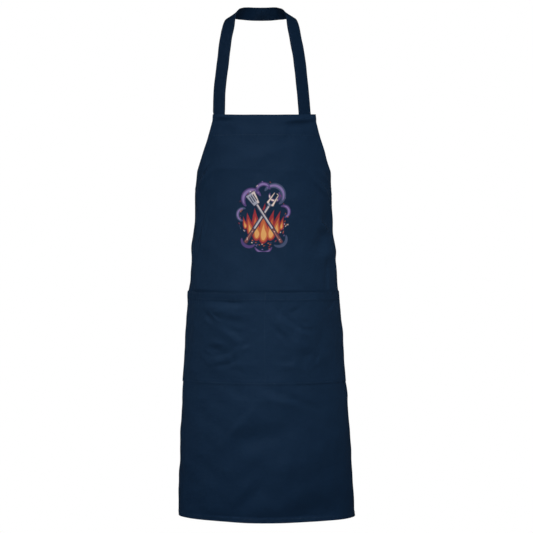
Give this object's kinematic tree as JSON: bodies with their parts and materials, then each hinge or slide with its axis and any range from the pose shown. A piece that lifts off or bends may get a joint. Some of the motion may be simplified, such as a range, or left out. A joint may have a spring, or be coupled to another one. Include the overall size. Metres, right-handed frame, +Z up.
{
  "type": "bib apron",
  "caption": "Long bib apron with a wide divided pocket, kept in its worn form: the cloth wraps an open torso hollow, and its neck strap holds it up.",
  "frame": {"origin": "middle of the inner face of the neck strap, where it rests on the back of the neck", "axes": "+Z up, from the hem to the neck; the front of the apron faces -Y; +X is to the right when the front is looked at"},
  "size_m": [0.3836, 0.2527, 1.1078],
  "materials": {
    "body_twill": "dull navy twill weave",
    "pocket_twill": "dull navy twill weave",
    "strap_tape": "dull navy twill tape"
  },
  "bodies": {
    "root": {"body_panel": "body_twill", "bib_hem": "body_twill", "armhole_hem_left": "body_twill", "armhole_hem_right": "body_twill", "side_hem_left": "body_twill", "side_hem_right": "body_twill", "bottom_hem": "body_twill", "pocket_panel": "pocket_twill", "pocket_hem": "pocket_twill", "neck_strap": "strap_tape", "waist_tie_left": "strap_tape", "waist_tie_right": "strap_tape", "waist_knot": "strap_tape", "tie_end_left": "strap_tape", "tie_end_right": "strap_tape"}
  },
  "joints": []
}
